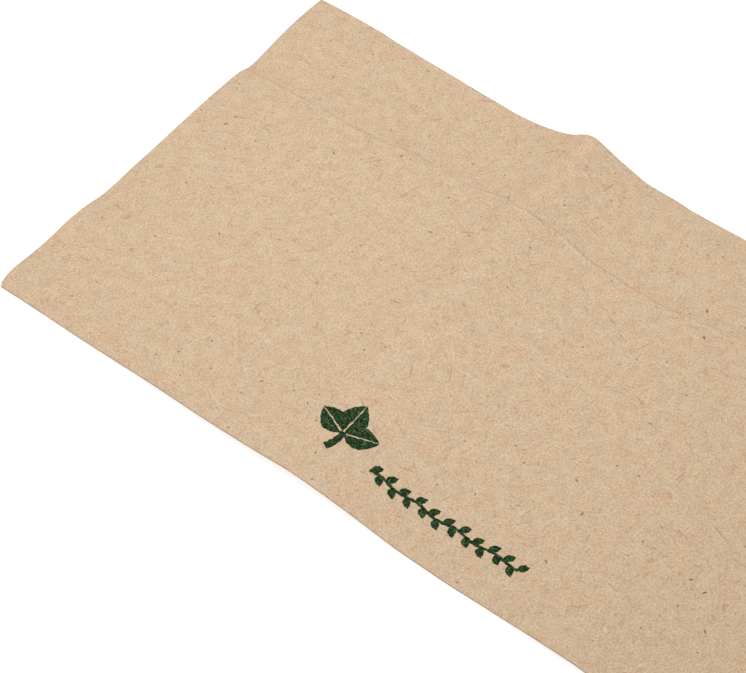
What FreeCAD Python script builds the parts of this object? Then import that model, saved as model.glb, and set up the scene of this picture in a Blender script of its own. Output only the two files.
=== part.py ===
import FreeCAD, Part
import os
import Sketcher
from FreeCAD import Placement, Rotation, Vector

# A paper napkin of the tall dispenser kind: one cut sheet with three folds along its length.
# Both long sides of the sheet are folded in as flaps, and the sheet is then folded in half over
# them. So one long edge is the centre fold, and the other is two outer folds, one on the other.
# Both short ends are cut, and show four layers, or two beyond the free edges of the flaps.
# X runs along the folds, Y across them towards the centre fold, and Z is up. The origin is under
# the middle of the napkin, on the surface that it lies on.

NODE = "napkin"

SIZES = [
    ("folded_length", 178.0, "cut end to cut end, along the folds"),
    ("folded_width", 98.0, "outer folds to centre fold"),
    ("flap_width", 73.5, "outer fold to the free edge of its flap"),
    ("paper", 0.10, "thickness of the paper"),
    ("layer_gap", 0.08, "air between two layers"),
    ("fold_bevel", 0.07, "a pressed fold has a blunt edge, with its corners cut by this"),
    ("step_run", 2.4, "the top layer comes down past the flaps over this width"),
]

# How the napkin lies, from the left end to the right: each row is the distance from the row
# before, then the height of the underside at the outer folds and at the centre fold.
# One ripple crosses it, highest at the centre fold. The last row starts a stretch that lies flat.
LIE = [
    (0.0, 0.00, 1.00),
    (7.0, 0.40, 1.20),
    (9.0, 0.52, 1.20),
    (10.0, 0.68, 0.60),
    (11.0, 1.05, 0.30),
    (11.0, 1.32, 0.02),
    (7.0, 1.42, 0.28),
    (4.5, 1.52, 1.05),
    (3.0, 1.68, 1.95),
    (2.8, 1.90, 3.40),
    (2.4, 2.15, 4.80),
    (2.3, 2.45, 5.60),
    (2.5, 2.62, 4.95),
    (3.0, 2.60, 3.65),
    (3.5, 2.45, 2.40),
    (4.5, 2.10, 1.42),
    (6.5, 1.35, 1.00),
    (8.5, 0.30, 0.85),
    (8.0, 0.06, 0.82),
    (9.0, 0.48, 0.70),
    (10.0, 1.05, 0.48),
    (9.0, 1.28, 0.30),
    (10.5, 0.70, 0.10),
    (11.0, 0.00, 0.00),
]

# A long run of the section is drawn as so many equal lines. The ripple twists the faces between
# two sections, and narrower faces stay nearer to flat.
RUN_LINES = 3

# Rules for the corners of the folded section, in terms of the sheet's cells.
WIDTH = "sizes.folded_width"
FLAP = "sizes.flap_width"
PAPER = "sizes.paper"
BEVEL = "sizes.fold_bevel"
STEP_HEAD = "(sizes.flap_width + sizes.layer_gap)"
STEP_FOOT = "(sizes.flap_width + sizes.layer_gap + sizes.step_run)"
PITCH = "(sizes.paper + sizes.layer_gap)"
ONE_PAPER = "+ sizes.paper"


def fill_sheet(doc):
    rows = list(SIZES)
    for place, (span, outer_rise, centre_rise) in enumerate(LIE):
        if place > 0:
            rows.append(("span_%d" % place, span, "length of this stretch"))
        rows.append(("outer_rise_%d" % place, outer_rise, "underside at the outer folds"))
        rows.append(("centre_rise_%d" % place, centre_rise, "underside at the centre fold"))
    sheet = doc.addObject("Spreadsheet::Sheet", "sizes")
    for number, (alias, value, meaning) in enumerate(rows, start=1):
        sheet.set("A%d" % number, alias)
        sheet.set("B%d" % number, str(value))
        sheet.setAlias("B%d" % number, alias)
        sheet.set("C%d" % number, meaning)
    doc.recompute()
    return sheet


def above(layers, more=""):
    """The rule for a height of so many layers with their gaps, and a little more."""
    return "%d * %s %s" % (layers, PITCH, more)


def section_corners():
    """The folded sheet cut across, once round the paper: each corner's place and its next run.

    A corner is how far across it is, how far up, and how many lines lead on to the next one.
    """
    upper_edge = "+ sizes.paper - sizes.fold_bevel"
    lower_edge = "+ sizes.fold_bevel"
    return [
        # underside, round the centre fold and back over the top, up the step to the outer fold
        (BEVEL, "0", RUN_LINES),
        (WIDTH + " - " + BEVEL, "0", 1),
        (WIDTH, BEVEL, 1),
        (WIDTH, above(1, upper_edge), 1),
        (WIDTH + " - " + BEVEL, above(1, ONE_PAPER), 1),
        (STEP_FOOT, above(1, ONE_PAPER), 1),
        (STEP_HEAD, above(3, ONE_PAPER), RUN_LINES),
        (BEVEL, above(3, ONE_PAPER), 1),
        # round the upper outer fold, and the upper flap out to its free edge and back
        ("0", above(3, upper_edge), 1),
        ("0", above(2, lower_edge), 1),
        (BEVEL, above(2), RUN_LINES),
        (FLAP, above(2), 1),
        (FLAP, above(2, ONE_PAPER), RUN_LINES),
        (PAPER, above(2, ONE_PAPER), 1),
        # inside the top layer, down the step, round inside the centre fold and back
        (PAPER, above(3), RUN_LINES),
        (STEP_HEAD, above(3), 1),
        (STEP_FOOT, above(1), 1),
        (WIDTH + " - " + PAPER, above(1), 1),
        (WIDTH + " - " + PAPER, PAPER, RUN_LINES),
        (PAPER, PAPER, 1),
        # the lower flap out to its free edge and back, and round the lower outer fold
        (PAPER, above(1), RUN_LINES),
        (FLAP, above(1), 1),
        (FLAP, above(1, ONE_PAPER), RUN_LINES),
        (BEVEL, above(1, ONE_PAPER), 1),
        ("0", above(1, upper_edge), 1),
        ("0", BEVEL, 1),
    ]


def origin_plane(body, role):
    return next(item for item in body.Origin.OriginFeatures if item.Role == role)


def name_constraint(sketch, constraint, name, rule):
    index = sketch.addConstraint(constraint)
    sketch.renameConstraint(index, name)
    sketch.setExpression("Constraints." + name, rule)


def fix_corner(sketch, line, corner, across, up):
    """Ties the start of a line to the rules for its place, or to an axis where a rule is 0."""
    if across == "0":
        sketch.addConstraint(Sketcher.Constraint("PointOnObject", line, 1, -2))
    else:
        distance = Sketcher.Constraint("DistanceX", -1, 1, line, 1, corner.x)
        name_constraint(sketch, distance, "across_%d" % line, across)
    if up == "0":
        sketch.addConstraint(Sketcher.Constraint("PointOnObject", line, 1, -1))
    else:
        distance = Sketcher.Constraint("DistanceY", -1, 1, line, 1, corner.y)
        name_constraint(sketch, distance, "up_%d" % line, up)


def draw_section(sketch, sheet):
    """Draws the closed outline from corner to corner, and ties it to the sheet."""
    rules = section_corners()
    corners = [Vector(rule_value(sheet, across), rule_value(sheet, up), 0) for across, up, _ in rules]
    for corner, (across, up, lines), end in zip(corners, rules, corners[1:] + corners[:1]):
        first = sketch.GeometryCount
        for part in range(lines):
            step = (end - corner) / lines
            sketch.addGeometry(Part.LineSegment(corner + step * part, corner + step * (part + 1)))
        fix_corner(sketch, first, corner, across, up)
        for line in range(first, first + lines - 1):
            sketch.addConstraint(Sketcher.Constraint("Horizontal", line))
            sketch.addConstraint(Sketcher.Constraint("Equal", line, line + 1))
    count = sketch.GeometryCount
    for line in range(count):
        sketch.addConstraint(Sketcher.Constraint("Coincident", line, 2, (line + 1) % count, 1))


def add_section(body, sheet, place):
    """The folded section at one place of the lie, lifted and tilted as the two edges lie there."""
    sketch = body.newObject("Sketcher::SketchObject", "section_%d" % place)
    sketch.AttachmentSupport = [(origin_plane(body, "YZ_Plane"), "")]
    sketch.MapMode = "FlatFace"
    sketch.AttachmentOffset = Placement(Vector(), Rotation(Vector(0, 0, 1), 1))
    draw_section(sketch, sheet)
    spans = ["sizes.span_%d" % before for before in range(1, place + 1)]
    rise = "sizes.centre_rise_%d - sizes.outer_rise_%d" % (place, place)
    sketch.setExpression("AttachmentOffset.Base.y", "sizes.outer_rise_%d" % place)
    sketch.setExpression("AttachmentOffset.Base.z", " + ".join(spans) or "0")
    sketch.setExpression("AttachmentOffset.Rotation.Angle", "asin((%s) / %s)" % (rise, WIDTH))
    return sketch


def rule_value(sheet, rule):
    return float(sheet.evalExpression(rule.replace("sizes.", "")))


def build_napkin(doc, sheet):
    body = doc.addObject("PartDesign::Body", NODE)
    body.Label = NODE
    sections = [add_section(body, sheet, place) for place in range(len(LIE))]
    doc.recompute()
    rippled = body.newObject("PartDesign::AdditiveLoft", "rippled_stretch")
    rippled.Profile = sections[0]
    rippled.Sections = [(section, [""]) for section in sections[1:]]
    rippled.Ruled = True
    flat = body.newObject("PartDesign::Pad", "flat_stretch")
    flat.Profile = sections[-1]
    spans = " - ".join("sizes.span_%d" % place for place in range(1, len(LIE)))
    flat.setExpression("Length", "sizes.folded_length - " + spans)
    body.setExpression("Placement.Base.x", "-sizes.folded_length / 2")
    body.setExpression("Placement.Base.y", "-sizes.folded_width / 2")
    return body


def check(doc, body):
    for item in doc.Objects:
        failed = [state for state in item.State if state in ("Invalid", "Error")]
        if failed:
            raise RuntimeError("%s is %s" % (item.Name, ", ".join(failed)))
    if body.Shape.isNull() or not body.Shape.isValid() or len(body.Shape.Solids) != 1:
        raise RuntimeError(body.Label + " has no single valid solid")


def main():
    doc = FreeCAD.newDocument("paper_napkin")
    sheet = fill_sheet(doc)
    body = build_napkin(doc, sheet)
    doc.recompute()
    check(doc, body)
    os.makedirs("parts", exist_ok=True)
    body.Shape.exportStep("parts/%s.step" % body.Label)
    print(body.Label, "volume", round(body.Shape.Volume, 1), body.Shape.BoundBox)


main()
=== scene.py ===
import math
from collections import namedtuple

import bpy
import numpy as np
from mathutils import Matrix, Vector


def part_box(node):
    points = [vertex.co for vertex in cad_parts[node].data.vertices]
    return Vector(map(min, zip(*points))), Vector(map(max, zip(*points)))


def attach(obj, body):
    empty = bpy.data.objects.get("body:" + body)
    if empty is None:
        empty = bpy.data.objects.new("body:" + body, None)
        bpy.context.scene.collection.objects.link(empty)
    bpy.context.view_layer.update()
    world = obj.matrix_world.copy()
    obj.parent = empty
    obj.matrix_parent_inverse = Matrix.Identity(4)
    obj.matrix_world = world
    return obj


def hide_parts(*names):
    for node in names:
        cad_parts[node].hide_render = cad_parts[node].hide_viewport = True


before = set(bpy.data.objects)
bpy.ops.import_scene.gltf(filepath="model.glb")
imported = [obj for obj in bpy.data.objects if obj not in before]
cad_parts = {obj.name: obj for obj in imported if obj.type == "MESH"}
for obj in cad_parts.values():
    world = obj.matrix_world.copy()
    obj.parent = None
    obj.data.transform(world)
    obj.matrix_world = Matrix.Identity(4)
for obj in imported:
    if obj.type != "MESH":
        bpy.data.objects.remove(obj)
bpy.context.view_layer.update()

# A paper napkin, folded lengthwise and lying loose on a white floor. Its paper is one closed mesh
# in the folded form, and its print is two pieces of thin ink.
# Lengths are in metres. Lists of places, the print and the textures are in millimetres, and angles
# are in degrees. A point of the paper is named by how far along the folds it lies from the left
# cut end, and how far across from the outer folds towards the centre fold.

MM = 0.001
NODE = "napkin"
BODY = "root"
LOW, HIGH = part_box(NODE)
LENGTH = HIGH[0] - LOW[0]
WIDTH = HIGH[1] * 2

# The sheet and its folded section: the paper's thickness, the distance from layer to layer, the
# flat cut, how far the upper flap ends before the step above it, and the lower flap before that
PAPER = 0.10 * MM
PITCH = 0.18 * MM
FLAP_MARGIN = 0.25 * MM
LOWER_FLAP_SHORT = 0.4 * MM

# How finely the mesh follows the sheet. The top layer's steps lie behind the line where it comes
# down past the flaps, and ahead of it. Each cut end has more rows, at these shares of a row.
ROWS = 190
END_ROWS = (0.25, 0.6)
UNDER_STEPS = 28
FLAP_STEPS = 15
FOLD_STEPS = 6
TOP_STEPS_BEHIND = 16
TOP_STEPS_AHEAD = 79

# Where the top layer has more columns: at the centre fold and at the crease beside it, both as
# distances from that fold, then on both sides of the step line, and at the outer fold
CENTRE_COLUMNS = [0.0, 0.25, 0.6, 1.1]
CREASE_COLUMNS = [1.6, 2.1, 2.35, 2.6, 2.85, 3.1, 3.6]
STEP_COLUMNS = [
    3.8, 3.0, 2.3, 1.7, 1.2, 0.8, 0.5, 0.35, 0.27, 0.18, 0.09, 0.0,
    -0.12, -0.25, -0.4, -0.6, -0.9, -1.4, -2.1,
]
OUTER_COLUMNS = [1.1, 0.7, 0.4, 0.18, 0.0]

# The upper flap's free edge shows through the top layer as a fine step. Each pair is a place
# along and how far across the step lies there.
STEP_LINE = [
    (0, 72.6), (16, 73.0), (32, 73.8), (44, 75.8), (54, 75.5), (63, 76.4), (69, 74.6), (78, 75.3),
    (88, 74.2), (100, 74.2), (110, 75.5), (121, 77.0), (140, 77.2), (160, 76.3), (178, 75.8),
]

# The most of the drop that comes at once, over the short run. The rest settles over the long one.
# Each pair is a place along and how much of that most the step has there.
STEP_SHARE = 0.62
STEP_RUN = 0.56 * MM
SETTLE_RUN = 3.6 * MM
STEP_CRISPNESS = [
    (0, 0.50), (38, 0.55), (50, 0.30), (61, 0.55), (73, 0.80), (92, 0.75), (104, 0.55), (178, 0.55),
]

# Fine forms of the top layer, each as its height, its middle and its reach. The ridge and the
# groove run all along the step. The dent beside them is at one place along, and so is the crease,
# which lies by the centre fold.
RIDGE = (0.085 * MM, -0.12 * MM, 0.34 * MM)
GROOVE = (-0.025 * MM, 0.62 * MM, 0.3 * MM)
DENT = (-0.10 * MM, 1.3 * MM, 1.1 * MM)
DENT_ALONG = (62 * MM, 4 * MM)
CREASE = (0.09 * MM, WIDTH - 2.6 * MM, 0.30 * MM)
CREASE_ALONG = (76 * MM, 8 * MM)

# The cut ends aren't quite straight. Each pair is a place across and how far out the end lies.
LEFT_END = [
    (0, -0.45), (0.8, 0.10), (2, 0.29), (4.5, 0.34), (8, 0.22), (12, 0.16), (16, 0.19),
    (19.5, 0.25), (24, 0.18), (26, 0.05), (28, -0.12), (30, -0.21), (33, -0.21), (38, -0.08),
    (46, 0.01), (54, 0.07), (62, 0.09), (68, 0.02), (71, -0.06), (73, -0.32), (74, -0.37),
    (76, -0.31), (80, -0.13), (86, 0.05), (90, 0.13), (94, 0.08), (98, -0.03),
]
RIGHT_END = [
    (0, -0.40), (1.0, 0.02), (12, 0.16), (26, -0.05), (40, 0.10), (55, -0.12), (68, 0.05),
    (75, 0.12), (77, -0.10), (88, 0.05), (98, -0.05),
]
END_REACH = 9 * MM

# Nor is the centre fold. It is squeezed out at the ripple's crest, and pinched just before it.
# Each pair is a place along and how far out the fold stands there.
FOLD_LINE = [
    (0, -0.16), (4, -0.05), (8, 0.0), (11, 0.13), (16, 0.14), (19, 0.02), (24, 0.20), (34, 0.22),
    (42, 0.17), (48, 0.0), (51.5, -0.19), (57, -0.07), (63, 0.04), (65, 0.0), (67.6, 0.42),
    (69.4, 0.35), (71.5, 0.15), (75, 0.13), (79, 0.21), (83, 0.04), (89, 0.25), (94, -0.02),
    (100, 0.04), (106, 0.26), (114, 0.05), (126, 0.12), (140, -0.05), (155, 0.10), (178, 0.0),
]

# The left end lifts where its outline stands out, and a little everywhere but at the outer fold
LIFT_SCALE = 1.3
LIFT_EVERYWHERE = 0.1 * MM
LIFT_REACH = 16 * MM
LIFT_CLEAR_OF_FOLD = 4 * MM

# The paper's unevenness stands this much above the lie, and fades by a share where it lies flat
UNEVEN_RISE = 0.06 * MM
FLATTENS_FROM = 132 * MM
FLATTENS_OVER = 18 * MM
FADED_SHARE = 0.75
LEAST_HEIGHT = 0.01 * MM

# The mesh is smooth but for edges sharper than this
SHARP_ANGLE = 55

# The bake's image. The sheet fills it but for a margin. Hidden faces get little room, and the
# underside, which lies between these places on the path round the section, gets some.
IMAGE_MARGIN = 0.01
IMAGE_SHARE = 0.96
HIDDEN_ROOM = 0.08
UNDERSIDE_ROOM = 0.5
UNDERSIDE_PATH = (70 * MM, 176 * MM)

# The narrow faces along the cut edges: the row or column, its strip of the image, and whether its
# faces are turned round
END_STRIPS = [(0, (0.002, 0.012), False), (-1, (0.988, 0.998), True)]
EDGE_STRIPS = [(0, (0.985, 0.99), True), (-1, (0.993, 0.998), False)]

# The print's ink, and how its patches are drawn: so many lines side by side in a stroke or half a
# leaf, and a fewest of points along a leaf with one more for each step
INK_ABOVE = 0.02 * MM
INK_BELOW = 0.03 * MM
STROKE_LINES = 4
LEAF_LINES = 5
LEAF_STEP = 0.22
LEAF_FEWEST = 6

# A leaf's outline: a skew under 1 puts its widest place nearer the foot, and a fullness under 1
# rounds it. Each half has at least so much width. Its rib narrows by the taper towards the tip.
LEAF_SKEW = 0.82
LEAF_FULLNESS = 0.85
LEAF_LEAST = 0.04
RIB_TAPER = 0.6

# The sprig: a stem that sways as part of a sine wave and narrows, with three leaves at its tip.
# Each leaf is its foot from the tip, along and across, its heading, its length and its width.
SPRIG_AT = (74.6, 8.0)
SPRIG_POINTS = 26
SPRIG_HEIGHT = 4.6
SPRIG_SWAY = 0.9
SPRIG_BEND = 2.2
SPRIG_ASIDE = 0.5
SPRIG_STEM = 1.5
SPRIG_STEM_TAPER = 0.3
SPRIG_RIB = 0.32
SPRIG_LEAVES = [
    (0.0, 0.2, 91, 6.9, 5.3),
    (-0.2, -0.3, 158, 6.8, 5.0),
    (0.3, -0.3, 22, 6.8, 5.0),
]

# The garland: a wavy stem that drifts a little across, with leaves on both sides in turn
GARLAND_FROM = (83.4, 9.3)
GARLAND_LENGTH = 34.4
GARLAND_DRIFT = 0.5
GARLAND_WAVE = 0.30
GARLAND_WAVES = 4
GARLAND_POINTS = 160
GARLAND_STEM = 0.62
GARLAND_STEM_SHARE = 0.97
GARLAND_LEAVES = 21
GARLAND_FIRST_LEAF = 0.2
GARLAND_LEAF_OUT = 0.15
GARLAND_LEAF_HEADING = 47
GARLAND_LEAF_SIZE = (2.3, 1.55)

# Colours of the pulp. Clouds of two other tones lie over the plain one.
PLAIN = (0.664, 0.485, 0.325, 1)
PINKISH = (0.668, 0.474, 0.309, 1)
OLIVE = (0.656, 0.490, 0.331, 1)
WHITE = (1, 1, 1, 1)

# Noises, each as the size of its features, its detail, its roughness and its offset
PINKISH_CLOUDS = (4.0, 2.0, 0.4, 11.0)
OLIVE_CLOUDS = (4.5, 2.0, 0.4, 47.0)
MOTTLE = (0.40, 3.0, 0.65, 5.0)
THICKNESS = (2.4, 2.0, 0.6, 71.0)
DIMPLES = (1.3, 2.0, 0.5, 63.0)
INK_SOAK = (0.55, 4.0, 0.8, 8.0)
INK_HUE = (0.9, 2.0, 0.6, 53.0)

# How a noise shows: the two values between which it turns, and the colours that it turns between
CLOUD_EDGES = (0.38, 0.68)
MOTTLE_TINTS = (0.2, 0.8, (0.86, 0.775, 0.77, 1), (1.15, 1.235, 1.24, 1))
THICKNESS_TINTS = (0.25, 0.75, (0.963, 0.94, 0.935, 1), (1.037, 1.06, 1.065, 1))
INK_TONES = (0.40, 0.62, (0.003, 0.010, 0.002, 1), (0.034, 0.075, 0.027, 1))
INK_TINTS = (0.35, 0.65, (1.30, 0.97, 0.76, 1), (0.72, 1.05, 1.24, 1))

# Fibres and specks lie in cells. A kind has its cells' size, its length and slimness, the share of
# the cells that hold one, the offset of its cells, how strongly it shows, and its colour.
Flecks = namedtuple("Flecks", "spacing length slimness share offset strength colour")
PAPER_FLECKS = {
    "pale fibres": Flecks(0.9, 0.85, 4.0, 1.0, 3.0, 0.22, (0.80, 0.61, 0.42, 1)),
    "dark fibres": Flecks(1.1, 0.9, 3.5, 1.0, 31.0, 0.36, (0.41, 0.26, 0.15, 1)),
    "strands": Flecks(5.5, 1.7, 9.0, 0.62, 71.0, 0.45, (0.34, 0.20, 0.11, 1)),
    "dots": Flecks(2.6, 0.27, 1.4, 0.55, 57.0, 0.8, (0.22, 0.125, 0.06, 1)),
    "specks": Flecks(6.0, 0.48, 2.7, 0.44, 93.0, 0.9, (0.16, 0.085, 0.035, 1)),
    "rusty bits": Flecks(7.0, 1.0, 2.2, 0.75, 122.0, 0.50, (0.52, 0.28, 0.13, 1)),
    "pale bits": Flecks(7.0, 0.8, 2.6, 0.45, 17.0, 0.42, (0.86, 0.75, 0.60, 1)),
}
THIN_INK = Flecks(0.55, 0.50, 2.6, 0.95, 29.0, 0.85, (0.09, 0.16, 0.07, 1))

# A fleck is between these shares of its kind's length, mostly short by this power of chance, and
# is solid for this share of the way out from its middle
SHORTEST_FLECK = 0.35
LONGEST_FLECK = 1.25
RARELY_LONG = 2.0
SOLID_SHARE = 0.55

# A pattern is moved along by its offset, and across by this much of it
NOISE_ASIDE = 0.7
FLECKS_ASIDE = 1.3

# The paper's relief: how strongly the mottle shows in it beside the dimples, and its depth
MOTTLE_RELIEF = 0.42
RELIEF_STRENGTH = 0.55
RELIEF_DEPTH = 0.06 * MM

# The camera looks at the napkin as the photograph does
IMAGE_WIDTH = 746
FOCAL_PIXELS = 2546.25
SENSOR = 36.0
CLIP_START = 0.01
CAMERA_AZIMUTH = 38.5
CAMERA_ELEVATION = 52.2
CAMERA_DISTANCE = 0.4821
CAMERA_AIM = (-0.02536, -0.01375, 0.0)

# Light, where a level of 1 shows a colour as it is written. The sky is brighter on the near side.
SKY_EVEN = 0.12
SKY_LEAN = 0.78
SKY_BRIGHTEST = (0.12, -0.66, 0.74)
LAMP_POWER = 0.45
LAMP_SIZE = 0.2
LAMP_AT = (-0.06, 0.01, 0.28)

# The floor lies just under the napkin. Seen directly it has a glow of its own, and shows white.
FLOOR_REACH = 3.0
FLOOR_DROP = 0.02 * MM
FLOOR_COLOUR = (0.8, 0.8, 0.8, 1)
FLOOR_GLOW = 0.65


def slopes_through(places, heights):
    """Slopes for a smooth curve through the places that never swings past them."""
    runs = np.diff(places)
    grades = np.diff(heights) / runs
    slopes = np.zeros_like(heights)
    for i in range(1, len(heights) - 1):
        if grades[i - 1] * grades[i] > 0:
            before, after = 2 * runs[i] + runs[i - 1], runs[i] + 2 * runs[i - 1]
            slopes[i] = (before + after) / (before / grades[i - 1] + after / grades[i])
    slopes[0], slopes[-1] = grades[0], grades[-1]
    return slopes


def smooth_curve(places, heights):
    """A function that gives the height of a smooth curve at any place."""
    slopes = slopes_through(places, heights)

    def curve(at):
        at = np.asarray(at, dtype=float)
        i = np.clip(np.searchsorted(places, at) - 1, 0, len(places) - 2)
        run = places[i + 1] - places[i]
        t = np.clip((at - places[i]) / run, 0.0, 1.0)
        start = (1 + 2 * t) * (1 - t) ** 2 * heights[i] + t * (1 - t) ** 2 * run * slopes[i]
        end = t ** 2 * (3 - 2 * t) * heights[i + 1] + t ** 2 * (t - 1) * run * slopes[i + 1]
        return start + end

    return curve


def curve_in_mm(pairs):
    places, values = np.array(pairs, dtype=float).T * MM
    return smooth_curve(places, values)


def read_lie():
    """The heights of the solid's underside along its two long edges."""
    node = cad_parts[NODE]
    points = np.array([node.matrix_world @ vertex.co for vertex in node.data.vertices])
    edge = 1.0 * MM
    close = 0.01 * MM
    lie = []
    for place in np.unique(np.round(points[:, 0], 5)):
        here = points[abs(points[:, 0] - place) < close]
        outer = here[here[:, 1] < LOW[1] + edge]
        centre = here[here[:, 1] > HIGH[1] - edge]
        if len(outer) > 0 and len(centre) > 0:
            lie.append((place - LOW[0], outer[:, 2].min(), centre[:, 2].min()))
    along, outer, centre = np.array(lie).T
    return smooth_curve(along, outer), smooth_curve(along, centre)


outer_height, centre_height = read_lie()
step_place = curve_in_mm(STEP_LINE)
step_crispness = smooth_curve(*(np.array(STEP_CRISPNESS).T * [[MM], [1.0]]))
left_out = curve_in_mm(LEFT_END)
right_out = curve_in_mm(RIGHT_END)
fold_out = curve_in_mm(FOLD_LINE)


def bump(value, middle, reach):
    return np.exp(-((value - middle) / reach) ** 2)


def swell(value, form):
    height, middle, reach = form
    return height * bump(value, middle, reach)


def ease(value):
    value = np.clip(value, 0.0, 1.0)
    return value * value * (3 - 2 * value)


class Waves:
    """Smooth unevenness, a sum of waves in all directions that is the same on every run."""

    SHORTEST, LONGEST = 0.6, 1.7

    def __init__(self, seed, wavelength, height, count=16):
        random = np.random.RandomState(seed)
        angles = random.uniform(0, 2 * math.pi, count)
        lengths = wavelength * random.uniform(self.SHORTEST, self.LONGEST, count)
        self.along = 2 * math.pi * np.cos(angles) / lengths
        self.across = 2 * math.pi * np.sin(angles) / lengths
        self.start = random.uniform(0, 2 * math.pi, count)
        self.height = height * math.sqrt(2.0 / count)

    def __call__(self, along, across):
        waves = zip(self.along, self.across, self.start)
        return self.height * sum(np.sin(a * along + b * across + c) for a, b, c in waves)


COCKLE = Waves(seed=3, wavelength=36 * MM, height=0.085 * MM)
CRINKLE = Waves(seed=5, wavelength=12 * MM, height=0.026 * MM)
CREPE = Waves(seed=8, wavelength=4.5 * MM, height=0.008 * MM)
RAGGED_ALONG = Waves(seed=31, wavelength=0.8 * MM, height=0.045 * MM, count=12)
RAGGED_ACROSS = Waves(seed=34, wavelength=0.8 * MM, height=0.045 * MM, count=12)


def end_lift(along, across):
    """How far the cut left end lifts and dips, with the same unevenness as its outline."""
    near_end = np.clip(1 - along / LIFT_REACH, 0.0, 1.0) ** 2
    lift = near_end * (left_out(across) + LIFT_EVERYWHERE)
    return lift * ease(across / LIFT_CLEAR_OF_FOLD) * LIFT_SCALE


def underside(along, across):
    """Height of the lowest layer's underside."""
    share = np.clip(across / WIDTH, 0.0, 1.0)
    height = outer_height(along) * (1 - share) + centre_height(along) * share
    faded = FADED_SHARE * ease((along - FLATTENS_FROM) / FLATTENS_OVER)
    uneven = COCKLE(along, across) + CRINKLE(along, across) + CREPE(along, across)
    lifted = height + (uneven + UNEVEN_RISE) * (1 - faded) + end_lift(along, across)
    return np.maximum(lifted, LEAST_HEIGHT)


def top_extra(along, across, line):
    """How far the top layer stands above its place over two layers, falling past the flaps."""
    past = across - line
    crisp = step_crispness(along)
    share = STEP_SHARE * crisp
    dropped = share * ease(past / STEP_RUN) + (1 - share) * ease((past - STEP_RUN / 2) / SETTLE_RUN)
    ridge = swell(past, RIDGE) + swell(past, GROOVE)
    dent = swell(past, DENT) * bump(along, *DENT_ALONG)
    crease = swell(across, CREASE) * bump(along, *CREASE_ALONG)
    return 2 * PITCH * (1 - dropped) + ridge * crisp + dent + crease


def top_height(along, across):
    """Height of the top layer's upper face."""
    level = PITCH + top_extra(along, across, step_place(along))
    return underside(along, across) + PAPER + level


def along_places():
    """Places along the folds, evenly spaced but closer together at both cut ends."""
    even = np.linspace(0.0, LENGTH, ROWS + 1)
    step = even[1]
    ends = np.array(END_ROWS) * step
    return np.concatenate([[0.0], ends, even[1:-1], LENGTH - ends[::-1], [LENGTH]])


def run(start, end, layer, steps):
    """Evenly spaced places across, each as (across, layer)."""
    return [(start + (end - start) * i / steps, layer) for i in range(steps + 1)]


def fold(centre_across, from_layer, to_layer, outward):
    """A half turn from one layer to the next."""
    places = []
    for i in range(1, FOLD_STEPS):
        turn = math.pi * i / FOLD_STEPS
        level = from_layer + (to_layer - from_layer) * (1 - math.cos(turn)) / 2
        places.append((centre_across + outward * math.sin(turn) * PITCH / 2, level))
    return places


def between(start, end, steps):
    return np.linspace(start, end, steps + 2)[1:-1]


def top_across(line, near, far):
    """The top layer's places across at one place along, from the centre fold to the outer one."""
    centre = far - np.array(CENTRE_COLUMNS) * MM
    crease = WIDTH - np.array(CREASE_COLUMNS) * MM
    step = line + np.array(STEP_COLUMNS) * MM
    outer = near + np.array(OUTER_COLUMNS) * MM
    behind = between(crease[-1], step[0], TOP_STEPS_BEHIND)
    ahead = between(step[-1], outer[0], TOP_STEPS_AHEAD)
    return np.concatenate([centre, crease, behind, step, ahead, outer])


class Sheet:
    """The middle of the paper as rows of points, one row for each place along the folds.

    Each row runs from the lower flap's free edge round to the upper flap's free edge.
    """

    def __init__(self):
        self.along = along_places()
        inset = (PITCH + PAPER) / 2
        rows = [self.section(place, inset, WIDTH - inset) for place in self.along]
        self.across = np.array([row[0] for row in rows])
        self.layer = np.array([row[1] for row in rows])
        self.on_top = np.array(rows[0][2])
        self.points = self.place_points()

    def section(self, along, near, far):
        """One row: how far across its points lie, their layers, and which are on the top layer."""
        line = float(step_place(along))
        flap = line - FLAP_MARGIN
        far = far + float(fold_out(along))
        top = [(across, 0) for across in top_across(line, near, far)]
        before = run(flap - LOWER_FLAP_SHORT, near, 1, FLAP_STEPS) + fold(near, 1, 0, -1.0)
        before += run(near, far, 0, UNDER_STEPS) + fold(far, 0, 1, 1.0)
        after = fold(near, 3, 2, -1.0) + run(near, flap, 2, FLAP_STEPS)
        across, layers = zip(*(before + top + after))
        on_top = [False] * len(before) + [True] * len(top) + [False] * len(after)
        return across, layers, on_top

    def place_points(self):
        along = np.broadcast_to(self.along[:, None], self.across.shape)
        out = -left_out(self.across) * np.clip(1 - along / END_REACH, 0, 1) ** 2
        out = out + right_out(self.across) * np.clip(1 - (LENGTH - along) / END_REACH, 0, 1) ** 2
        extra = top_extra(along, self.across, step_place(along))
        level = np.where(self.on_top[None, :], PITCH + extra, self.layer * PITCH)
        height = underside(along, self.across) + PAPER / 2 + level
        return np.stack([LOW[0] + along + out, self.across - WIDTH / 2, height], axis=-1)

    def normals(self):
        ahead = np.gradient(self.points, axis=1)
        beside = np.gradient(self.points, axis=0)
        normal = np.cross(beside, ahead)
        return normal / np.linalg.norm(normal, axis=-1, keepdims=True)

    def path(self):
        """How far along the unfolded sheet each point lies, across the folds."""
        steps = np.linalg.norm(np.diff(self.points, axis=1), axis=-1)
        return np.concatenate([np.zeros((len(steps), 1)), np.cumsum(steps, axis=1)], axis=1)


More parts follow.
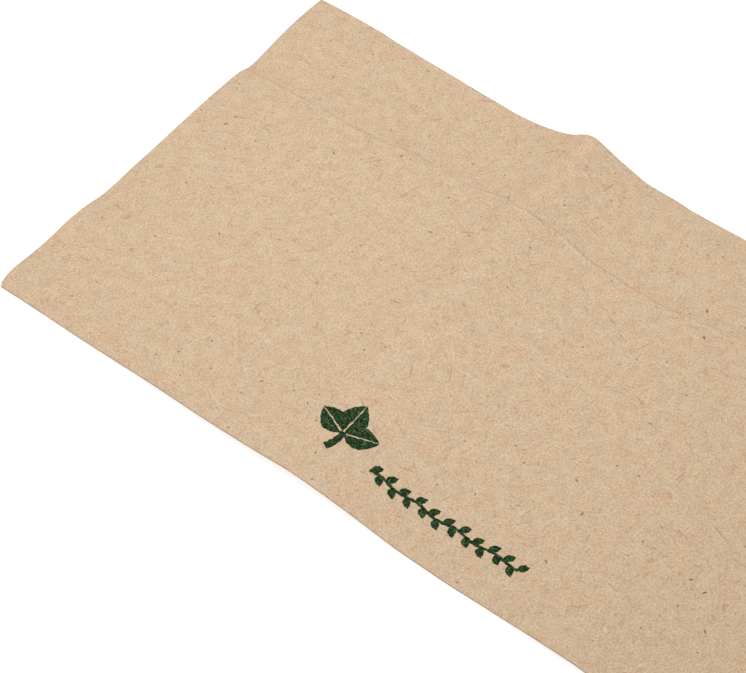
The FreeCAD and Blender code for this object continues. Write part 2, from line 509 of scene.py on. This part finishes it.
class Faces:
    """Collects four-sided faces with their places on the sheet and on the bake's image."""

    def __init__(self):
        self.corners, self.sheet, self.bake = [], [], []

    def add(self, index, sheet, bake, flip=False):
        """index, sheet and bake are grids of vertex numbers and of places."""
        for grid, kept in ((index, self.corners), (sheet, self.sheet), (bake, self.bake)):
            ring = [grid[:-1, :-1], grid[:-1, 1:], grid[1:, 1:], grid[1:, :-1]]
            stack = np.stack(ring[::-1] if flip else ring, axis=2)
            kept.append(stack.reshape((-1, 4) + grid.shape[2:]))

    def mesh(self, name, points):
        corners = np.concatenate(self.corners)
        mesh = bpy.data.meshes.new(name)
        mesh.from_pydata(points.tolist(), [], corners.tolist())
        for label, kept in (("sheet", self.sheet), ("OFBake", self.bake)):
            layer = mesh.uv_layers.new(name=label)
            layer.uv.foreach_set("vector", np.concatenate(kept).astype(np.float32).ravel())
        mesh.update()
        mesh.shade_smooth()
        mesh.set_sharp_from_angle(angle=math.radians(SHARP_ANGLE))
        return mesh


def image_rows(on_top, path):
    """Where each column lies up the bake's image, with most room for the faces that show."""
    steps = np.diff(path)
    under = (path[1:] > UNDERSIDE_PATH[0]) & (path[1:] < UNDERSIDE_PATH[1])
    room = np.where(on_top[1:], 1.0, np.where(under, UNDERSIDE_ROOM, HIDDEN_ROOM))
    outer = np.concatenate([[0.0], np.cumsum(steps * room)])
    inner = np.concatenate([[0.0], np.cumsum(steps * HIDDEN_ROOM)])
    whole = outer[-1] + inner[-1]
    outer = IMAGE_MARGIN + IMAGE_SHARE * outer / whole
    return outer, outer[-1] + IMAGE_MARGIN + IMAGE_SHARE * inner / whole


def image_grid(across_image, up_image):
    """A grid of places on the bake's image."""
    return np.stack(np.meshgrid(across_image, up_image, indexing="ij"), axis=-1)


def sheet_faces(sheet, index):
    """The inner and outer face of the paper, and the narrow faces along its cut edges."""
    path = sheet.path()
    along = np.broadcast_to(sheet.along[:, None], path.shape)
    on_sheet = np.stack([along, path], axis=-1)
    outer_rows, inner_rows = image_rows(sheet.on_top, path[len(path) // 2])
    image_along = 2 * IMAGE_MARGIN + IMAGE_SHARE * sheet.along / LENGTH
    faces = Faces()
    faces.add(index[0], on_sheet, image_grid(image_along, inner_rows), flip=True)
    faces.add(index[1], on_sheet, image_grid(image_along, outer_rows))
    for row, strip, flip in END_STRIPS:
        place = np.stack([on_sheet[row]] * 2)
        faces.add(index[:, row], place, image_grid(strip, outer_rows), flip)
    for column, strip, flip in EDGE_STRIPS:
        place = np.stack([on_sheet[:, column]] * 2)
        image = np.swapaxes(image_grid(image_along, strip), 0, 1)
        faces.add(index[:, :, column], place, image, flip)
    return faces


def make_object(name, mesh, material):
    mesh.materials.append(material)
    piece = bpy.data.objects.new(name, mesh)
    bpy.context.scene.collection.objects.link(piece)
    return piece


def build_napkin(material):
    """The paper as one closed mesh. Its points are the inner face's first, then the outer one's."""
    sheet = Sheet()
    rows, columns = sheet.across.shape
    half = sheet.normals() * PAPER / 2
    sides = [sheet.points + half, sheet.points - half]
    points = np.concatenate([side.reshape(-1, 3) for side in sides])
    index = np.arange(2 * rows * columns).reshape(2, rows, columns)
    mesh = sheet_faces(sheet, index).mesh("napkin_sheet", points)
    return make_object("napkin_sheet", mesh, material)


class Print:
    """Thin patches of ink on the top layer. Places are in millimetres, along and across."""

    def __init__(self):
        self.points, self.faces = [], []

    def patch(self, grid):
        """A closed patch over a grid of places, its upper face just proud of the paper."""
        rows, columns = grid.shape[:2]
        along, across = grid[..., 0] * MM, grid[..., 1] * MM
        along, across = along + RAGGED_ALONG(along, across), across + RAGGED_ACROSS(along, across)
        surface = top_height(along, across)
        start = len(self.points)
        for rise in (INK_ABOVE, -INK_BELOW):
            layer = np.stack([LOW[0] + along, across - WIDTH / 2, surface + rise], axis=-1)
            self.points += layer.reshape(-1, 3).tolist()
        index = start + np.arange(2 * rows * columns).reshape(2, rows, columns)
        self.cover(index[0], True)
        self.cover(index[1], False)
        self.cover(index[:, 0, :], False)
        self.cover(index[:, -1, :], True)
        self.cover(index[:, :, 0], True)
        self.cover(index[:, :, -1], False)

    def cover(self, index, flip):
        """Faces over a grid of vertex numbers, turned round or not."""
        ring = [index[:-1, :-1], index[1:, :-1], index[1:, 1:], index[:-1, 1:]]
        stack = np.stack(ring[::-1] if flip else ring, axis=2)
        self.faces += stack.reshape(-1, 4).tolist()

    def stroke(self, line, widths):
        """A stroke along a line of places, as wide as widths says at each."""
        ahead = np.gradient(line, axis=0)
        ahead /= np.linalg.norm(ahead, axis=1, keepdims=True)
        beside = np.stack([ahead[:, 1], -ahead[:, 0]], axis=1)
        shares = np.linspace(-0.5, 0.5, STROKE_LINES)
        self.patch(line[:, None] + beside[:, None] * widths[:, None, None] * shares[:, None])

    def leaf(self, foot, heading, length, width, rib=0.0):
        """A pointed leaf. Where it has a rib, bare paper divides it into two halves."""
        t = np.linspace(0.0, 1.0, LEAF_FEWEST + int(length / LEAF_STEP))
        turn = math.radians(heading)
        forward = np.array([math.cos(turn), math.sin(turn)])
        right = np.array([forward[1], -forward[0]])
        half = width / 2 * np.sin(math.pi * t ** LEAF_SKEW) ** LEAF_FULLNESS
        inner = rib / 2 * (1 - t * RIB_TAPER)
        outer = np.maximum(half, inner + LEAF_LEAST)
        middle = foot + forward * (t * length)[:, None]
        spans = [(-outer, -inner), (inner, outer)] if rib > 0 else [(-outer, outer)]
        for low, high in spans:
            across = low[:, None] + (high - low)[:, None] * np.linspace(0, 1, LEAF_LINES)
            self.patch(middle[:, None] + across[..., None] * right)

    def mesh(self, name):
        mesh = bpy.data.meshes.new(name)
        mesh.from_pydata(self.points, [], self.faces)
        mesh.update()
        return mesh


def sprig_print():
    """Three leaves on a short curved stem."""
    ink = Print()
    x, y = SPRIG_AT
    t = np.linspace(0.0, 1.0, SPRIG_POINTS)
    bend = SPRIG_SWAY * np.sin(SPRIG_BEND * t)
    stem = np.stack([x + bend - SPRIG_ASIDE, y + SPRIG_HEIGHT * t], axis=1)
    ink.stroke(stem, SPRIG_STEM - SPRIG_STEM_TAPER * t)
    for along, across, heading, length, width in SPRIG_LEAVES:
        ink.leaf(stem[-1] + [along, across], heading, length, width, SPRIG_RIB)
    return ink


def garland_print():
    """A wavy stem with short leaves on both sides."""
    ink = Print()
    x, y = GARLAND_FROM

    def stem(share):
        wave = GARLAND_WAVE * np.sin(share * 2 * GARLAND_WAVES * math.pi)
        return np.stack([x + GARLAND_LENGTH * share, y + GARLAND_DRIFT * share + wave], axis=-1)

    line = stem(np.linspace(0.0, GARLAND_STEM_SHARE, GARLAND_POINTS))
    ink.stroke(line, np.full(GARLAND_POINTS, GARLAND_STEM))
    for place in range(GARLAND_LEAVES):
        foot = stem(np.array((place + GARLAND_FIRST_LEAF) / GARLAND_LEAVES))
        side = 1 if place % 2 == 0 else -1
        foot = foot + [0.0, GARLAND_LEAF_OUT * side]
        ink.leaf(foot, side * GARLAND_LEAF_HEADING, *GARLAND_LEAF_SIZE)
    return ink


def node_tree(material):
    material.use_nodes = True
    material.node_tree.nodes.clear()
    return material.node_tree


def add(tree, kind, sockets=(), **settings):
    """A node with these settings. Each socket is given a plain value or another node's output."""
    node = tree.nodes.new(kind)
    for name, value in settings.items():
        setattr(node, name, value)
    for name, value in dict(sockets).items():
        if isinstance(value, bpy.types.NodeSocket):
            tree.links.new(value, node.inputs[name])
        else:
            node.inputs[name].default_value = value
    return node


def calculate(tree, operation, first, second=0.0, clamp=False):
    node = add(tree, "ShaderNodeMath", {0: first, 1: second}, operation=operation, use_clamp=clamp)
    return node.outputs[0]


def vectors(tree, operation, first, second=(0.0, 0.0, 0.0)):
    """A calculation with vectors. The first output is its result, or Value where that is a number."""
    sockets = {0: first, 1: second}
    return add(tree, "ShaderNodeVectorMath", sockets, operation=operation).outputs


def remap(tree, value, low, high, to_low=0.0, to_high=1.0):
    sockets = {"Value": value, "From Min": low, "From Max": high, "To Min": to_low, "To Max": to_high}
    node = add(tree, "ShaderNodeMapRange", sockets, interpolation_type="SMOOTHSTEP")
    return node.outputs[0]


def mix(tree, factor, first, second, blend="MIX"):
    sockets = {0: factor, 6: first, 7: second}
    node = add(tree, "ShaderNodeMix", sockets, data_type="RGBA", blend_type=blend, clamp_factor=True)
    return node.outputs[2]


def tones(tree, value, low, high, first, second):
    """The first colour up to the value low, the second from high on, and a mix between them."""
    return mix(tree, remap(tree, value, low, high), first, second)


def tint(tree, colour, value, low, high, first, second):
    """A colour times a tint, which turns from the first to the second between two values."""
    return mix(tree, 1.0, colour, tones(tree, value, low, high, first, second), "MULTIPLY")


def in_millimetres(tree, places):
    return add(tree, "ShaderNodeVectorMath", {0: places, 3: 1 / MM}, operation="SCALE").outputs[0]


def moved(tree, places, offset, scale=(1.0, 1.0, 1.0)):
    sockets = {"Vector": places, "Location": offset, "Scale": scale}
    return add(tree, "ShaderNodeMapping", sockets).outputs[0]


def noise(tree, places, size, detail, roughness, offset):
    """Cloudy unevenness with features of about this size in millimetres."""
    shifted = moved(tree, places, (offset, offset * NOISE_ASIDE, 0))
    sockets = {"Vector": shifted, "Scale": 1 / size, "Detail": detail, "Roughness": roughness}
    return add(tree, "ShaderNodeTexNoise", sockets, noise_dimensions="2D").outputs[0]


def fleck_mask(tree, places, kind):
    """Short strokes lying every way, each in its own cell, in this kind's share of the cells.

    A few are long and strong, and most are small and faint.
    """
    cell = 1 / kind.spacing
    cells = moved(tree, places, (kind.offset, kind.offset * FLECKS_ASIDE, 0), (cell, cell, 1.0))
    sockets = {"Vector": cells, "Scale": 1.0}
    found = add(tree, "ShaderNodeTexVoronoi", sockets, voronoi_dimensions="2D").outputs
    away = vectors(tree, "SUBTRACT", cells, found["Position"])[0]
    chance = add(tree, "ShaderNodeSeparateColor", {0: found["Color"]}).outputs
    sockets = {"Vector": away, "Angle": calculate(tree, "MULTIPLY", chance[0], 2 * math.pi)}
    turned = add(tree, "ShaderNodeVectorRotate", sockets, rotation_type="Z_AXIS").outputs[0]
    slim = vectors(tree, "MULTIPLY", turned, (1.0, kind.slimness, 0.0))[0]
    distance = vectors(tree, "LENGTH", slim)["Value"]
    rarely_long = calculate(tree, "POWER", chance[1], RARELY_LONG)
    shortest, longest = (share * kind.length / kind.spacing for share in (SHORTEST_FLECK, LONGEST_FLECK))
    reach = remap(tree, rarely_long, 0.0, 1.0, shortest, longest)
    inside = remap(tree, calculate(tree, "DIVIDE", distance, reach), SOLID_SHARE, 1.0, 1.0, 0.0)
    strength = remap(tree, chance[2], 0.0, kind.share, 1.0, 0.0)
    return calculate(tree, "MULTIPLY", inside, strength)


def with_flecks(tree, places, colour, kind):
    shown = calculate(tree, "MULTIPLY", fleck_mask(tree, places, kind), kind.strength)
    return mix(tree, shown, colour, kind.colour)


def paper_colour(tree, places, mottle):
    """Unbleached recycled pulp: soft pinkish and olive clouds, fine mottle, fibres and specks."""
    colour = PLAIN
    for clouds, tone in ((PINKISH_CLOUDS, PINKISH), (OLIVE_CLOUDS, OLIVE)):
        colour = tones(tree, noise(tree, places, *clouds), *CLOUD_EDGES, colour, tone)
    colour = tint(tree, colour, mottle, *MOTTLE_TINTS)
    colour = tint(tree, colour, noise(tree, places, *THICKNESS), *THICKNESS_TINTS)
    for kind in PAPER_FLECKS.values():
        colour = with_flecks(tree, places, colour, kind)
    return colour


def paper_relief(tree, places, mottle):
    """Felt-like tooth of the pulp, with coarser dimples."""
    dimples = noise(tree, places, *DIMPLES)
    height = calculate(tree, "ADD", calculate(tree, "MULTIPLY", mottle, MOTTLE_RELIEF), dimples)
    sockets = {"Height": height, "Strength": RELIEF_STRENGTH, "Distance": RELIEF_DEPTH}
    return add(tree, "ShaderNodeBump", sockets).outputs[0]


def paper_material():
    """Soft matt paper. Its texture lies on the unfolded sheet, so it turns with the folds."""
    material = bpy.data.materials.new("unbleached_paper")
    tree = node_tree(material)
    places = in_millimetres(tree, add(tree, "ShaderNodeUVMap", uv_map="sheet").outputs["UV"])
    mottle = noise(tree, places, *MOTTLE)
    sockets = {
        "Base Color": paper_colour(tree, places, mottle),
        "Roughness": 0.9,
        "Specular IOR Level": 0.25,
        "Normal": paper_relief(tree, places, mottle),
    }
    shader = add(tree, "ShaderNodeBsdfPrincipled", sockets)
    add(tree, "ShaderNodeOutputMaterial", {"Surface": shader.outputs[0]})
    return material


def ink_material():
    """Dark green ink soaked unevenly into the pulp."""
    material = bpy.data.materials.new("green_ink")
    tree = node_tree(material)
    places = in_millimetres(tree, add(tree, "ShaderNodeTexCoord").outputs["Object"])
    colour = tones(tree, noise(tree, places, *INK_SOAK), *INK_TONES)
    colour = tint(tree, colour, noise(tree, places, *INK_HUE), *INK_TINTS)
    colour = with_flecks(tree, places, colour, THIN_INK)
    sockets = {"Base Color": colour, "Roughness": 0.85, "Specular IOR Level": 0.1}
    shader = add(tree, "ShaderNodeBsdfPrincipled", sockets)
    add(tree, "ShaderNodeOutputMaterial", {"Surface": shader.outputs[0]})
    return material


def place_camera():
    camera = bpy.data.cameras.new("camera")
    camera.sensor_width = SENSOR
    camera.lens = SENSOR * FOCAL_PIXELS / IMAGE_WIDTH
    camera.clip_start = CLIP_START
    azimuth, elevation = math.radians(CAMERA_AZIMUTH), math.radians(CAMERA_ELEVATION)
    level = math.cos(elevation)
    back = Vector((math.sin(azimuth) * level, -math.cos(azimuth) * level, math.sin(elevation)))
    holder = bpy.data.objects.new("camera", camera)
    holder.location = Vector(CAMERA_AIM) + back * CAMERA_DISTANCE
    holder.rotation_euler = (-back).to_track_quat("-Z", "Y").to_euler()
    bpy.context.scene.collection.objects.link(holder)
    bpy.context.scene.camera = holder


def seen_directly(tree):
    """1 for what the camera sees by itself, in a mirror or through glass, and otherwise 0."""
    path = add(tree, "ShaderNodeLightPath").outputs
    some = calculate(tree, "ADD", path["Is Camera Ray"], path["Is Glossy Ray"])
    return calculate(tree, "ADD", some, path["Is Transmission Ray"], clamp=True)


def light_sky():
    """A soft sky that leans towards its brightest side. Seen directly it is plain white."""
    world = bpy.data.worlds.new("studio")
    bpy.context.scene.world = world
    tree = node_tree(world)
    direction = add(tree, "ShaderNodeTexCoord").outputs["Generated"]
    leaning = vectors(tree, "DOT_PRODUCT", direction, SKY_BRIGHTEST)["Value"]
    towards = calculate(tree, "MAXIMUM", leaning, 0.0)
    level = calculate(tree, "ADD", calculate(tree, "MULTIPLY", towards, SKY_LEAN), SKY_EVEN)
    soft = add(tree, "ShaderNodeBackground", {"Color": WHITE, "Strength": level})
    white = add(tree, "ShaderNodeBackground", {"Color": WHITE, "Strength": 1.0})
    sockets = {0: seen_directly(tree), 1: soft.outputs[0], 2: white.outputs[0]}
    shown = add(tree, "ShaderNodeMixShader", sockets)
    add(tree, "ShaderNodeOutputWorld", {"Surface": shown.outputs[0]})


def light_lamp():
    """A small near lamp, which brings out the ripple."""
    lamp = bpy.data.lights.new("softbox", "AREA")
    lamp.size = LAMP_SIZE
    lamp.energy = LAMP_POWER
    holder = bpy.data.objects.new("softbox", lamp)
    holder.location = LAMP_AT
    holder.visible_camera = False
    bpy.context.scene.collection.objects.link(holder)


def floor_material():
    """Pale, and white to the camera where nothing shades it."""
    material = bpy.data.materials.new("pale_floor")
    tree = node_tree(material)
    matt = add(tree, "ShaderNodeBsdfDiffuse", {"Color": FLOOR_COLOUR})
    glow = add(tree, "ShaderNodeEmission", {"Color": WHITE, "Strength": FLOOR_GLOW})
    lifted = add(tree, "ShaderNodeAddShader", {0: matt.outputs[0], 1: glow.outputs[0]})
    sockets = {0: seen_directly(tree), 1: matt.outputs[0], 2: lifted.outputs[0]}
    shown = add(tree, "ShaderNodeMixShader", sockets)
    add(tree, "ShaderNodeOutputMaterial", {"Surface": shown.outputs[0]})
    return material


def lay_floor():
    mesh = bpy.data.meshes.new("floor")
    reach = FLOOR_REACH
    corners = [(-reach, -reach, 0), (reach, -reach, 0), (reach, reach, 0), (-reach, reach, 0)]
    mesh.from_pydata(corners, [], [(0, 1, 2, 3)])
    floor = make_object("floor", mesh, floor_material())
    floor.location.z = -FLOOR_DROP


def add_print(name, ink, material):
    piece = make_object(name, ink.mesh(name), material)
    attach(piece, BODY)
    return piece


place_camera()
light_sky()
light_lamp()
lay_floor()

napkin = build_napkin(paper_material())
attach(napkin, BODY)
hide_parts(NODE)
green_ink = ink_material()
prints = [
    add_print("sprig_print", sprig_print(), green_ink),
    add_print("garland_print", garland_print(), green_ink),
]

bpy.context.scene.view_settings.view_transform = "Standard"
